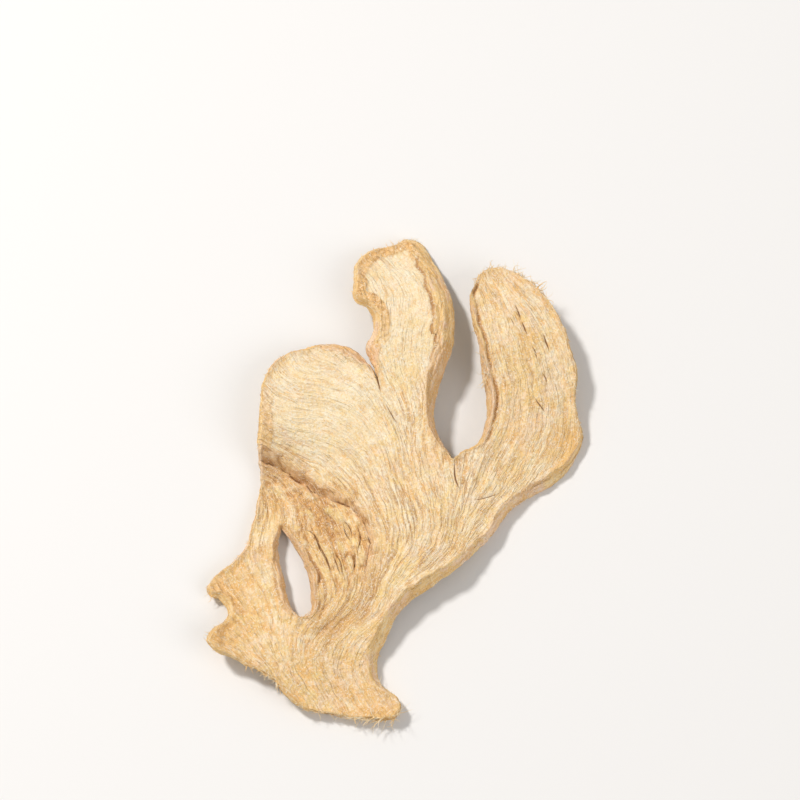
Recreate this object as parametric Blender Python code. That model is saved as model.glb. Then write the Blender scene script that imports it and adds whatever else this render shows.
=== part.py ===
"""One dried slice of ginger root, cut lengthwise through a hand of the root.

The slice lies flat, fingers toward +Y, cut face up, and rests on a few low spots.
Sizes are in millimetres and become metres when the mesh is made.
"""

from math import radians

import bpy
import bmesh
import numpy as np
from mathutils import Vector, geometry, kdtree, noise

MM = 0.001

# Points round the edge as seen from above: x, y, and the width of skin that faces up there.
LEFT_FINGER = (
    (-2.8, 19.1, 0.2), (-4.0, 23.4, 1.8), (-5.0, 26.8, 3.2), (-3.6, 30.0, 1.6), (-4.4, 33.7, 1.0),
    (-7.1, 35.5, 0.8), (-7.7, 39.6, 0.8), (-6.2, 47.0, 1.0), (-0.2, 50.2, 1.2), (4.3, 52.0, 2.0),
    (8.7, 46.3, 3.2), (10.9, 41.2, 3.6), (12.7, 33.3, 4.0), (12.4, 25.8, 3.2), (11.2, 22.5, 2.8),
    (9.2, 16.1, 2.4), (8.6, 12.5, 2.0), (9.2, 8.3, 1.6),
)
RIGHT_FINGER = (
    (12.3, 2.4, 0.5), (14.7, 4.8, 1.0), (17.1, 6.3, 1.2), (18.7, 10.1, 1.4), (19.0, 14.5, 1.6),
    (18.4, 19.5, 1.6), (17.2, 27.3, 1.0), (16.1, 32.3, 1.0), (16.1, 37.6, 0.4), (19.6, 42.7, 0.4),
    (24.3, 42.3, 0.4), (31.8, 35.6, 0.4), (34.4, 30.9, 0.4), (36.3, 25.8, 0.4), (37.3, 20.7, 0.4),
    (37.0, 16.2, 0.4), (37.4, 13.1, 0.4),
)
BODY = (
    (38.4, 9.6, 0.4), (37.7, 6.1, 0.6), (33.7, 0.0, 1.4), (27.6, -3.9, 1.6), (24.2, -6.4, 1.4),
    (17.6, -15.1, 1.2), (9.0, -22.5, 1.4), (2.4, -27.6, 1.8),
)
TRUNK = ((-1.1, -34.0, 2.0), (-2.7, -38.2, 2.0), (-2.1, -41.9, 1.4))
FOOT = (
    (1.8, -46.2, 0.4), (1.0, -48.9, 0.4), (-3.6, -49.5, 0.3), (-11.5, -48.5, 0.3),
    (-18.1, -47.0, 0.3), (-23.0, -42.0, 0.3), (-29.6, -38.6, 0.3),
)
LOBE = (
    (-34.0, -36.8, 0.6), (-35.6, -34.5, 0.8), (-34.6, -31.8, 1.0), (-32.5, -30.3, 1.2),
    (-31.9, -27.6, 1.2), (-33.3, -25.5, 1.0), (-35.9, -24.1, 0.8), (-35.3, -21.2, 0.6),
    (-29.5, -15.8, 0.6), (-26.9, -7.9, 0.6), (-26.0, -0.8, 0.6),
)
FLAP = (
    (-26.4, 5.4, 1.0), (-26.2, 11.5, 0.6), (-25.2, 19.8, 0.6), (-22.3, 24.5, 1.0),
    (-17.3, 26.7, 1.4), (-12.1, 27.7, 2.8), (-9.1, 27.2, 3.2), (-5.2, 24.0, 1.8),
)
EDGE = LEFT_FINGER + RIGHT_FINGER + BODY + TRUNK + FOOT + LOBE + FLAP

# The lens-shaped hole between the lobe and the fibrous band, from its pointed top.
HOLE = (
    (-21.7, -10.7, 0.5), (-22.3, -13.6, 0.9), (-21.9, -17.0, 1.2), (-21.0, -21.4, 1.4),
    (-20.1, -25.3, 1.3), (-18.8, -28.4, 0.8), (-17.3, -29.3, 0.6), (-16.1, -28.6, 1.0),
    (-15.7, -25.3, 1.4), (-15.9, -21.4, 1.5), (-17.1, -18.3, 1.4), (-19.4, -14.0, 0.9),
)
CREASES = (LEFT_FINGER[0], RIGHT_FINGER[0], HOLE[0])

# Where the flap stands over the fibrous band: x, y and the height of the step.
STEP = (
    (-27.0, 4.8, 2.8), (-24.2, 4.0, 2.7), (-21.0, 2.4, 2.5), (-17.6, 0.0, 2.2),
    (-14.8, -2.0, 1.9), (-11.6, -3.9, 1.5), (-8.5, -6.0, 1.25), (-5.2, -9.0, 1.15),
    (-3.6, -13.6, 1.1), (-3.8, -17.4, 0.9), (-4.6, -22.0, 0.45), (-5.8, -27.0, 0.0),
)
STEP_LEAN = 0.42
LEAST_STEP = 0.2
STEP_REACH = 7.5
STEP_BEND = 0.6
STEP_SEED = 44.4
STEP_DRIFT = 50.0
LIP_RISE = 0.16
LIP_WIDTH = 0.6
FOOT_DEPTH = 0.22
FOOT_WIDTH = 0.4

# How the dried slice has warped: x, y, height of its middle, and its thickness.
WARP = (
    (-17.5, -45.8, 2.6, 1.5),
    (0.3, -47.3, 1.7, 1.9),
    (-8.5, -43.2, 1.0, 2.6),
    (-12.8, -36.0, 2.6, 3.0),
    (-3.2, -38.3, 2.2, 3.2),
    (-27.8, -32.3, 2.8, 2.6),
    (-34.6, -34.4, 5.6, 2.2),
    (-34.3, -22.6, 1.0, 2.6),
    (-25.3, -15.5, 1.8, 2.8),
    (-23.2, -1.4, 1.6, 2.6),
    (-13.6, -11.9, 2.8, 2.8),
    (-10.9, -24.5, 3.4, 3.2),
    (-25.1, 6.6, 6.4, 3.0),
    (-11.1, 10.2, 6.0, 3.4),
    (-23.4, 22.2, 4.6, 3.2),
    (-9.2, 22.9, 4.6, 3.6),
    (5.7, -10.6, 6.0, 3.6),
    (-0.1, -23.5, 4.6, 3.6),
    (17.9, -13.8, 2.8, 3.4),
    (36.9, 7.1, 0.4, 3.0),
    (12.9, -1.1, 4.4, 3.6),
    (2.2, 17.7, 6.2, 3.6),
    (3.2, 32.7, 7.4, 3.8),
    (-6.7, 38.7, 6.0, 3.0),
    (2.2, 49.2, 1.3, 2.8),
    (27.6, 8.3, 3.6, 3.4),
    (26.9, 24.5, 6.8, 3.4),
    (35.9, 23.4, 4.9, 3.0),
    (19.5, 17.8, 6.0, 3.4),
    (20.4, 40.2, 6.4, 2.4),
)

# Lines that the fibres follow, each from the foot upward. The key is the line's place across
# the foot, counted from its left end.
FIBRES = {
    0.0: ((-18.1, -47.2), (-24.9, -40.8), (-30.0, -36.3), (-34.1, -34.1)),
    4.0: ((-15.6, -47.5), (-22.2, -39.1), (-27.4, -29.9), (-31.5, -24.0), (-34.3, -21.4)),
    8.0: ((-13.4, -48.2), (-19.7, -39.1), (-22.0, -27.8), (-25.3, -16.6), (-24.8, -1.5)),
    11.0: ((-11.7, -48.3), (-17.8, -39.0), (-14.4, -28.4), (-15.6, -20.2), (-19.1, -13.5),
           (-24.0, -0.7)),
    14.0: ((-10.0, -48.5), (-15.8, -39.0), (-11.1, -28.5), (-10.4, -18.4), (-13.6, -9.1),
           (-22.0, 1.4)),
    17.0: ((-8.2, -48.9), (-14.1, -38.9), (-7.9, -28.6), (-4.9, -18.3), (-6.7, -9.6),
           (-17.6, 2.8), (-24.7, 5.9)),
    20.0: ((-6.5, -49.1), (-12.2, -38.9), (-4.8, -28.6), (-0.5, -18.4), (-1.0, -8.3),
           (-5.7, 1.7), (-13.7, 8.2), (-25.6, 12.7)),
    22.5: ((-5.0, -49.3), (-10.6, -38.9), (-3.1, -28.6), (2.2, -18.5), (2.6, -7.6),
           (-0.6, 3.6), (-7.0, 14.1), (-23.0, 21.8)),
    25.0: ((-3.6, -49.5), (-8.9, -38.8), (-1.1, -28.7), (4.9, -18.5), (6.5, -6.3),
           (4.6, 6.2), (1.4, 17.8), (-0.6, 29.1), (-5.9, 45.2)),
    27.0: ((-2.4, -49.5), (-7.7, -38.8), (0.0, -28.7), (7.7, -18.0), (10.1, -5.7),
           (7.3, 5.0), (8.2, 25.8), (2.2, 48.6)),
    29.0: ((-1.5, -49.5), (-6.3, -38.8), (1.0, -28.7), (10.8, -17.4), (14.8, -5.9),
           (21.2, 9.3), (21.5, 18.6), (17.5, 38.4)),
    32.0: ((0.3, -49.4), (-4.8, -38.8), (1.8, -28.7), (14.0, -17.2), (22.3, -5.5),
           (28.0, 4.5), (28.6, 24.7), (21.2, 40.7)),
    35.0: ((1.8, -48.2), (-3.0, -38.9), (2.6, -28.3), (17.9, -15.1), (36.5, 4.5),
           (37.0, 15.4), (30.0, 35.8), (24.4, 41.2)),
}
FIBRE_SLACK = 30.0

# The strongly ridged stretch: down the fibrous band beside the hole. Each size of noise is
# its width across the fibres and its length along them.
RIDGED = ((-21.0, -1.5), (-15.5, -8.5), (-11.5, -16.0), (-10.0, -24.0), (-11.5, -31.0))
RIDGE_REACH = 6.5
RIDGE_SIZE = (3.4, 13.0)
RIDGE_HEIGHT = 0.55
RIDGE_SEED = 14.4
FURROW_SIZE = (2.7, 15.0)
FURROW_HEIGHT = 0.42
FURROW_SEED = 24.4
UNDER_RELIEF = 0.5

# The smooth stretches of the face, as spots with a reach, and their share of the furrows.
CALM = ((-12.0, 13.0, 13.0), (-14.0, 20.0, 8.0), (3.0, 38.0, 11.0), (4.0, 26.0, 9.0))
CALM_SHARE = 0.4

# The cut edge: the wall that faces up and the wall that faces down share this width of skin.
SKIN_WIDTH = 2.3
LEAST_UNDER = 0.5
WALL_BULGE = 0.12
RIM_RISE = 0.3
RIM_WIDTH = 0.8
RIM_LENGTH = 5.0
RIM_SEED = 34.4
DISH_DEPTH = 0.45
DISH_WIDTH = 3.5
SWELL = 0.5
SWELL_LENGTH = 11.0
SWELL_SEED = 4.4
LEAST_HEIGHT = 0.25
SLOPE_STEP = 0.05
LEAST_SLOPE = 0.12
TINY = 1e-9

# Rules for the mesh pattern, as shares of the spacing, of the depth or of the wall.
PAST_RIM = 0.6
OWN_EDGE = 0.92
SAME_WALL = 0.1
CLEARANCE = 0.5
CHAIN_REACH = 2.0
KEEP_INSIDE = 1

# Mesh sizes before and after the triangles are thinned out.
EDGE_SPACING = 0.8
FIELD_SPACING = 0.8
CURVE_STEPS = 14
TRIANGLES = 11000
FLAT_BELOW = 0.03
CREASE_ANGLE = 38.0
EDGE_ROWS = ((0.33, 0.0), (0.66, 0.0))
LEAST_ROW = 0.32
STEP_WAVES = ((0.6, 3.4),)


def smooth_curve(points, closed, spacing, creases=()):
    """Evenly spaced points along a smooth curve through these, as rows of x, y and value."""
    curve = bpy.data.curves.new("guide", "CURVE")
    curve.dimensions = "3D"
    spline = curve.splines.new("BEZIER")
    spline.use_cyclic_u = closed
    spline.resolution_u = CURVE_STEPS
    spline.bezier_points.add(len(points) - 1)
    for knot, point in zip(spline.bezier_points, points):
        knot.co = point
        handle = "VECTOR" if point in creases else "AUTO"
        knot.handle_left_type = handle
        knot.handle_right_type = handle
    guide = bpy.data.objects.new("guide", curve)
    bpy.context.collection.objects.link(guide)
    bpy.context.view_layer.update()
    path = np.array([vertex.co for vertex in guide.to_mesh().vertices])
    guide.to_mesh_clear()
    bpy.data.objects.remove(guide)
    bpy.data.curves.remove(curve)
    if closed:
        path = np.vstack([path, path[:1]])
    along = np.append(0.0, np.cumsum(np.linalg.norm(np.diff(path[:, :2], axis=0), axis=1)))
    count = round(along[-1] / spacing)
    stops = np.linspace(0.0, along[-1], count + 1)[:count + (not closed)]
    return np.stack([np.interp(stops, along, column) for column in path.T], axis=1)


def thin_plate(spots, values, slack=0.0):
    """A function of x and y: the smoothest sheet that has these values at these spots."""
    spots = np.array(spots)

    def bend(points):
        gaps = (points[:, :1] - spots[:, 0]) ** 2 + (points[:, 1:] - spots[:, 1]) ** 2
        return gaps * np.log(gaps + TINY)

    size = len(spots)
    system = np.zeros((size + 3, size + 3))
    system[:size, :size] = bend(spots) + slack * np.eye(size)
    system[:size, size] = system[size, :size] = 1.0
    system[:size, size + 1:] = spots
    system[size + 1:, :size] = spots.T
    weights = np.linalg.solve(system, np.append(values, np.zeros(3)))

    def height(points):
        return bend(points) @ weights[:size] + weights[size] + points @ weights[size + 1:]

    return height


def nearest(path, points):
    """For each point, the number of the nearest place on the path, and how far off it is."""
    tree = kdtree.KDTree(len(path))
    for number, place in enumerate(path):
        tree.insert((place[0], place[1], 0.0), number)
    tree.balance()
    found = [tree.find((x, y, 0.0)) for x, y in points]
    return np.array([row[1] for row in found]), np.array([row[2] for row in found])


def inside(loop, points):
    """Whether each point lies inside the closed loop."""
    start = loop[:, :2]
    end = np.roll(start, -1, axis=0)
    rise = np.where(end[:, 1] == start[:, 1], 1.0, end[:, 1] - start[:, 1])
    lean = (end[:, 0] - start[:, 0]) / rise
    found = []
    for part in np.array_split(points, max(1, len(points) // 2000)):
        x, y = part[:, :1], part[:, 1:]
        spans = (start[:, 1] > y) != (end[:, 1] > y)
        crossing = start[:, 0] + (y - start[:, 1]) * lean
        found.append((spans & (x < crossing)).sum(axis=1) % 2 == 1)
    return np.concatenate(found)


def sideways(path, closed):
    """Unit steps to the right of a path's heading, seen from above."""
    if closed:
        ahead = np.roll(path[:, :2], -1, axis=0) - np.roll(path[:, :2], 1, axis=0)
    else:
        ahead = np.gradient(path[:, :2], axis=0)
    right = np.stack([ahead[:, 1], -ahead[:, 0]], axis=1)
    return right / np.linalg.norm(right, axis=1)[:, None]


def rumple(across, along, seed):
    """Seeded noise between -1 and 1 at each place."""
    layer = np.broadcast_to(seed, np.shape(across))
    return np.array([noise.noise(place) for place in zip(across, along, layer)])


def fibre_places(points):
    """Each point's place across the fibres and along them, and the slope of the first."""
    spots, across, along = [], [], []
    for place, line in FIBRES.items():
        runs = np.linalg.norm(np.diff(line, axis=0), axis=1)
        spots += line
        across += [place] * len(line)
        along += [0.0, *np.cumsum(runs)]
    sheet = thin_plate(spots, across, FIBRE_SLACK)
    here = sheet(points)
    slopes = [(sheet(points + step) - here) / SLOPE_STEP for step in SLOPE_STEP * np.eye(2)]
    return here, thin_plate(spots, along, FIBRE_SLACK)(points), np.stack(slopes, axis=1)


def strands(fibres, wide, long, seed):
    """Noise drawn out along the fibres, of nearly the same width wherever they spread."""
    across, along, slopes = fibres
    tight = np.maximum(np.linalg.norm(slopes, axis=1), LEAST_SLOPE)
    level = -np.log2(tight * wide)
    whole = np.floor(level)
    coarse = rumple(across * 2.0 ** whole, along / long, seed + whole)
    fine = rumple(across * 2.0 ** (whole + 1.0), along / long, seed + whole + 1.0)
    return coarse + (level - whole) * (fine - coarse)


def near_spots(points, spots):
    """1 near any of these spots, fading to 0 past its reach."""
    found = np.zeros(len(points))
    for x, y, reach, *amount in spots:
        gap = np.hypot(points[:, 0] - x, points[:, 1] - y) / reach
        found = np.maximum(found, np.prod(amount) * np.exp(-gap ** 4))
    return found


def step_path(spacing):
    """The torn line along the top of the wall beside the flap."""
    path = smooth_curve(STEP, False, spacing)
    run = np.append(0.0, np.cumsum(np.linalg.norm(np.diff(path[:, :2], axis=0), axis=1)))
    stray = sum(
        height * rumple(run / length, run / STEP_DRIFT, STEP_SEED)
        for height, length in STEP_WAVES
    )
    return np.column_stack([path[:, :2] + sideways(path, False) * stray[:, None], path[:, 2]])


def flap_step(points):
    """The drop beside the flap, the lip along its top, and the groove at its foot."""
    path = step_path(EDGE_SPACING)
    number, gap = nearest(path, points)
    beyond = ((points - path[number, :2]) * sideways(path, False)[number]).sum(axis=1)
    beyond = np.where(beyond > 0.0, gap, -gap)
    height = path[number, 2]
    width = STEP_LEAN * height + LEAST_STEP
    down = np.clip(beyond / width, 0.0, 1.0)
    drop = height * down * np.exp(-(gap / STEP_REACH) ** 2)
    lip = LIP_RISE * height * np.exp(-((beyond + LIP_WIDTH) / LIP_WIDTH) ** 2)
    foot = FOOT_DEPTH * height * np.exp(-((beyond - width) / FOOT_WIDTH) ** 2)
    return drop, lip, foot


def form(points, wall, gap):
    """Heights of the upper and the lower surface at each point."""
    warp = np.array(WARP)
    drop, lip, foot = flap_step(points)
    swell = rumple(points[:, 0] / SWELL_LENGTH, points[:, 1] / SWELL_LENGTH, SWELL_SEED)
    middle = thin_plate(warp[:, :2], warp[:, 2])(points) + SWELL * swell - STEP_BEND * drop
    thick = thin_plate(warp[:, :2], warp[:, 3])(points) - (1.0 - STEP_BEND) * drop
    fibres = fibre_places(points)
    spine = smooth_curve([(*spot, 0.0) for spot in RIDGED], False, EDGE_SPACING)
    ridged = np.exp(-(nearest(spine, points)[1] / RIDGE_REACH) ** 2)
    ridge = 2.0 * np.sqrt(np.abs(strands(fibres, *RIDGE_SIZE, RIDGE_SEED))) - 1.0
    calm = near_spots(points, CALM)
    furrow = strands(fibres, *FURROW_SIZE, FURROW_SEED) * (1.0 - (1.0 - CALM_SHARE) * calm)
    relief = RIDGE_HEIGHT * ridge * ridged + FURROW_HEIGHT * furrow + lip - foot
    under = np.maximum(SKIN_WIDTH - wall, LEAST_UNDER)
    seam = under / (wall + under) - 0.5
    rise = np.clip(gap / wall, 0.0, 1.0)
    fall = np.clip(gap / under, 0.0, 1.0)
    climb = rise + WALL_BULGE * np.sin(np.pi * rise)
    descent = fall + WALL_BULGE * np.sin(np.pi * fall)
    uneven = 1.0 + rumple(points[:, 0] / RIM_LENGTH, points[:, 1] / RIM_LENGTH, RIM_SEED)
    rim = RIM_RISE * uneven * np.exp(-((gap - wall) / RIM_WIDTH) ** 2)
    dish = DISH_DEPTH * np.exp(-np.maximum(gap - wall, 0.0) / DISH_WIDTH)
    above = middle + thick * (seam + (0.5 - seam) * climb) + (rim + dish + relief) * rise
    below = middle + thick * (seam - (0.5 + seam) * descent) + UNDER_RELIEF * relief * fall
    return above, below


def edge_rows(loop, inward, spacing):
    """Rows of points that follow an edge, across its skin and just past its rim."""
    rows = []
    for share, more in (*EDGE_ROWS, (1.0, 0.0), (1.0, PAST_RIM * spacing)):
        depth = share * loop[:, 2] + more
        row = loop[:, :2] + inward * sideways(loop, True) * depth[:, None]
        number, gap = nearest(loop, row)
        same = np.abs(loop[number, 2] - loop[:, 2]) < SAME_WALL * loop[:, 2]
        rows.append(row[(gap > OWN_EDGE * depth) & (depth > LEAST_ROW) & same])
    return rows


def step_rows(spacing):
    """Points along the top and the foot of the wall beside the flap."""
    path = step_path(spacing)
    width = STEP_LEAN * path[:, 2] + LEAST_STEP
    right = sideways(path, False)
    return np.vstack([path[:, :2], path[:, :2] + right * width[:, None]])


def lattice(loop, spacing):
    """A triangular lattice of points over the box of the loop."""
    low, high = loop[:, :2].min(axis=0), loop[:, :2].max(axis=0)
    rows = np.arange(low[1], high[1], spacing * np.sqrt(0.75))
    columns = np.arange(low[0], high[0], spacing)
    x, y = np.meshgrid(columns, rows)
    x[1::2] += 0.5 * spacing
    return np.stack([x.ravel(), y.ravel()], axis=1)


def chain(row, first, spacing):
    """Pairs of neighbours in a row of points whose first point has this number."""
    gaps = np.linalg.norm(np.diff(row, axis=0), axis=1)
    starts = first + np.where(gaps < CHAIN_REACH * spacing)[0]
    return [(start, start + 1) for start in starts.tolist()]


def flat_pattern(rim, hole, spacing, guides):
    """The slice seen from above as points and triangles. The edge's points come first."""
    edge = np.vstack([rim, hole])
    rows = edge_rows(rim, -turning(rim), spacing) + edge_rows(hole, turning(hole), spacing)
    field = lattice(rim, spacing)
    field = field[nearest(np.vstack(guides), field)[1] > CLEARANCE * spacing]
    for points in (*guides, field):
        number, gap = nearest(edge, points)
        off_rim = np.abs(gap - edge[number, 2])
        clear = (gap > CLEARANCE * spacing) & (off_rim > CLEARANCE * spacing)
        rows.append(points[clear & inside(rim, points) & ~inside(hole, points)])
    loops = [list(range(len(rim))), list(range(len(rim), len(edge)))]
    sides = [(a, b) for loop in loops for a, b in zip(loop, loop[1:] + loop[:1])]
    first = len(edge)
    for row in rows[:-1]:
        sides += chain(row, first, spacing)
        first += len(row)
    places = [Vector(point) for point in np.vstack([edge[:, :2], *rows])]
    flat = geometry.delaunay_2d_cdt(places, sides, [], KEEP_INSIDE, TINY)
    points = np.array(flat[0])
    faces = np.array(flat[2])
    return points, faces[~inside(hole, points[faces].mean(axis=1))]


def turning(loop):
    """1 for a loop that runs anticlockwise seen from above, -1 for clockwise."""
    ahead = np.roll(loop[:, :2], -1, axis=0)
    return np.sign((loop[:, 0] * ahead[:, 1] - loop[:, 1] * ahead[:, 0]).sum())


def slice_mesh():
    """The closed mesh: the pattern once for each surface, joined where they meet at the edge."""
    rim = smooth_curve(EDGE, True, EDGE_SPACING, CREASES)
    hole = smooth_curve(HOLE, True, EDGE_SPACING, CREASES)
    edge = np.vstack([rim, hole])
    points, faces = flat_pattern(rim, hole, FIELD_SPACING, [step_rows(EDGE_SPACING)])
    number, gap = nearest(edge, points)
    above, below = form(points, edge[number, 2], gap)
    above = np.maximum(above, LEAST_HEIGHT)
    below = np.maximum(below, 0.0)
    points = points - 0.5 * (points.min(axis=0) + points.max(axis=0))
    shape = bmesh.new()
    upper = [shape.verts.new((x * MM, y * MM, z * MM)) for (x, y), z in zip(points, above)]
    lower = upper[:len(edge)] + [
        shape.verts.new((x * MM, y * MM, z * MM))
        for (x, y), z in zip(points[len(edge):], below[len(edge):])
    ]
    for a, b, c in faces:
        shape.faces.new((upper[a], upper[b], upper[c]))
        shape.faces.new((lower[c], lower[b], lower[a]))
    bmesh.ops.recalc_face_normals(shape, faces=shape.faces)
    mesh = bpy.data.meshes.new("ginger_slice")
    shape.to_mesh(mesh)
    shape.free()
    return mesh


def thin_out(part):
    """Fewer triangles where the surface is plain, with the resting spots left flat."""
    decimate = part.modifiers.new("thin_out", "DECIMATE")
    decimate.ratio = TRIANGLES / len(part.data.polygons)
    graph = bpy.context.evaluated_depsgraph_get()
    mesh = bpy.data.meshes.new_from_object(part.evaluated_get(graph))
    part.modifiers.clear()
    old = part.data
    part.data = mesh
    bpy.data.meshes.remove(old)
    for vertex in mesh.vertices:
        if vertex.co.z < FLAT_BELOW * MM:
            vertex.co.z = 0.0


def ginger_finish():
    finish = bpy.data.materials.new("dried_ginger")
    finish.use_nodes = True
    shader = finish.node_tree.nodes["Principled BSDF"]
    shader.inputs["Base Color"].default_value = (0.83, 0.66, 0.40, 1.0)
    shader.inputs["Roughness"].default_value = 0.8
    shader.inputs["Metallic"].default_value = 0.0
    return finish


def main():
    for leftover in list(bpy.data.objects):
        bpy.data.objects.remove(leftover)
    collection = bpy.data.collections.new("dried_ginger_slice")
    bpy.context.scene.collection.children.link(collection)
    part = bpy.data.objects.new("ginger_slice", slice_mesh())
    collection.objects.link(part)
    bpy.context.view_layer.update()
    thin_out(part)
    part.data.materials.append(ginger_finish())
    part.data.shade_smooth()
    part.data.set_sharp_from_angle(angle=radians(CREASE_ANGLE))


main()
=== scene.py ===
"""The looks of the dried ginger slice: its fibrous faces, skin, rims, hairs, and the picture."""
import math
from types import SimpleNamespace

import bpy
import numpy as np
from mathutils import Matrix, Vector, geometry, kdtree, noise


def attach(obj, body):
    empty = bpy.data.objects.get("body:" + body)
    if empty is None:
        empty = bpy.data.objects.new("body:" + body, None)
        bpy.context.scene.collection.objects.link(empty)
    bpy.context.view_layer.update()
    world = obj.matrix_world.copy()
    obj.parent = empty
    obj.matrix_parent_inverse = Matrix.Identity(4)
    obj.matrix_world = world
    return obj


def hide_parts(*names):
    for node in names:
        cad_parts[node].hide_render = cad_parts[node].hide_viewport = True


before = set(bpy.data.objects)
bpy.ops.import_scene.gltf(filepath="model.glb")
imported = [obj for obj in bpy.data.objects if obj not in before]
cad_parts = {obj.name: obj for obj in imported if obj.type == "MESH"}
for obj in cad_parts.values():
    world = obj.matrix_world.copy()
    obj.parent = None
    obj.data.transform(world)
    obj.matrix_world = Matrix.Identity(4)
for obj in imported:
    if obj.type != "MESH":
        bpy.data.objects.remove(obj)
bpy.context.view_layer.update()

MM = 0.001

# Points round the edge as seen from above: x, y, and the width of skin that faces up there.
LEFT_FINGER = (
    (-2.8, 19.1, 0.2), (-4, 23.4, 1.8), (-5, 26.8, 3.2), (-3.6, 30, 1.6), (-4.4, 33.7, 1),
    (-7.1, 35.5, 0.8), (-7.7, 39.6, 0.8), (-6.2, 47, 1), (-0.2, 50.2, 1.2), (4.3, 52, 2),
    (8.7, 46.3, 3.2), (10.9, 41.2, 3.6), (12.7, 33.3, 4), (12.4, 25.8, 3.2), (11.2, 22.5, 2.8),
    (9.2, 16.1, 2.4), (8.6, 12.5, 2), (9.2, 8.3, 1.6),
)
RIGHT_FINGER = (
    (12.3, 2.4, 0.5), (14.7, 4.8, 1), (17.1, 6.3, 1.2), (18.7, 10.1, 1.4), (19, 14.5, 1.6),
    (18.4, 19.5, 1.6), (17.2, 27.3, 1), (16.1, 32.3, 1), (16.1, 37.6, 0.4), (19.6, 42.7, 0.4),
    (24.3, 42.3, 0.4), (31.8, 35.6, 0.4), (34.4, 30.9, 0.4), (36.3, 25.8, 0.4), (37.3, 20.7, 0.4),
    (37, 16.2, 0.4), (37.4, 13.1, 0.4),
)
BODY = (
    (38.4, 9.6, 0.4), (37.7, 6.1, 0.6), (33.7, 0, 1.4), (27.6, -3.9, 1.6), (24.2, -6.4, 1.4),
    (17.6, -15.1, 1.2), (9, -22.5, 1.4), (2.4, -27.6, 1.8),
)
TRUNK = ((-1.1, -34, 2), (-2.7, -38.2, 2), (-2.1, -41.9, 1.4))
FOOT = (
    (1.8, -46.2, 0.4), (1, -48.9, 0.4), (-3.6, -49.5, 0.3), (-11.5, -48.5, 0.3), (-18.1, -47, 0.3),
    (-23, -42, 0.3), (-29.6, -38.6, 0.3),
)
LOBE = (
    (-34, -36.8, 0.6), (-35.6, -34.5, 0.8), (-34.6, -31.8, 1), (-32.5, -30.3, 1.2),
    (-31.9, -27.6, 1.2), (-33.3, -25.5, 1), (-35.9, -24.1, 0.8), (-35.3, -21.2, 0.6),
    (-29.5, -15.8, 0.6), (-26.9, -7.9, 0.6), (-26, -0.8, 0.6),
)
FLAP = (
    (-26.4, 5.4, 1), (-26.2, 11.5, 0.6), (-25.2, 19.8, 0.6), (-22.3, 24.5, 1), (-17.3, 26.7, 1.4),
    (-12.1, 27.7, 2.8), (-9.1, 27.2, 3.2), (-5.2, 24, 1.8),
)
EDGE = LEFT_FINGER + RIGHT_FINGER + BODY + TRUNK + FOOT + LOBE + FLAP

# The lens-shaped hole between the lobe and the fibrous band, from its pointed top.
HOLE = (
    (-21.7, -10.7, 0.5), (-22.3, -13.6, 0.9), (-21.9, -17, 1.2), (-21, -21.4, 1.4),
    (-20.1, -25.3, 1.3), (-18.8, -28.4, 0.8), (-17.3, -29.3, 0.6), (-16.1, -28.6, 1),
    (-15.7, -25.3, 1.4), (-15.9, -21.4, 1.5), (-17.1, -18.3, 1.4), (-19.4, -14, 0.9),
)
CREASES = (LEFT_FINGER[0], RIGHT_FINGER[0], HOLE[0])

# Where the flap stands over the fibrous band: x, y and the height of the step.
STEP = (
    (-27, 4.8, 2.8), (-24.2, 4, 2.7), (-21, 2.4, 2.5), (-17.6, 0, 2.2), (-14.8, -2, 1.9),
    (-11.6, -3.9, 1.5), (-8.5, -6, 1.25), (-5.2, -9, 1.15), (-3.6, -13.6, 1.1), (-3.8, -17.4, 0.9),
    (-4.6, -22, 0.45), (-5.8, -27, 0),
)
STEP_LEAN = 0.42
LEAST_STEP = 0.2
STEP_REACH = 7.5
STEP_BEND = 0.6
STEP_WAVES = ((0.6, 3.4), (0.3, 0.9))
STEP_SEED = 44.4
LIP_RISE = 0.16
LIP_WIDTH = 0.6
FOOT_DEPTH = 0.22
FOOT_WIDTH = 0.4

# How the dried slice has warped: x, y, height of its middle, and its thickness.
WARP = (
    (-17.5, -45.8, 2.6, 1.5), (0.3, -47.3, 1.7, 1.9), (-8.5, -43.2, 1, 2.6), (-12.8, -36, 2.6, 3),
    (-3.2, -38.3, 2.2, 3.2), (-27.8, -32.3, 2.8, 2.6), (-34.6, -34.4, 5.6, 2.2),
    (-34.3, -22.6, 1, 2.6), (-25.3, -15.5, 1.8, 2.8), (-23.2, -1.4, 1.6, 2.6),
    (-13.6, -11.9, 2.8, 2.8), (-10.9, -24.5, 3.4, 3.2), (-25.1, 6.6, 6.4, 3), (-11.1, 10.2, 6, 3.4),
    (-23.4, 22.2, 4.6, 3.2), (-9.2, 22.9, 4.6, 3.6), (5.7, -10.6, 6, 3.6), (-0.1, -23.5, 4.6, 3.6),
    (17.9, -13.8, 2.8, 3.4), (36.9, 7.1, 0.4, 3), (12.9, -1.1, 4.4, 3.6), (2.2, 17.7, 6.2, 3.6),
    (3.2, 32.7, 7.4, 3.8), (-6.7, 38.7, 6, 3), (2.2, 49.2, 1.3, 2.8), (27.6, 8.3, 3.6, 3.4),
    (26.9, 24.5, 6.8, 3.4), (35.9, 23.4, 4.9, 3), (19.5, 17.8, 6, 3.4), (20.4, 40.2, 6.4, 2.4),
)

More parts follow.
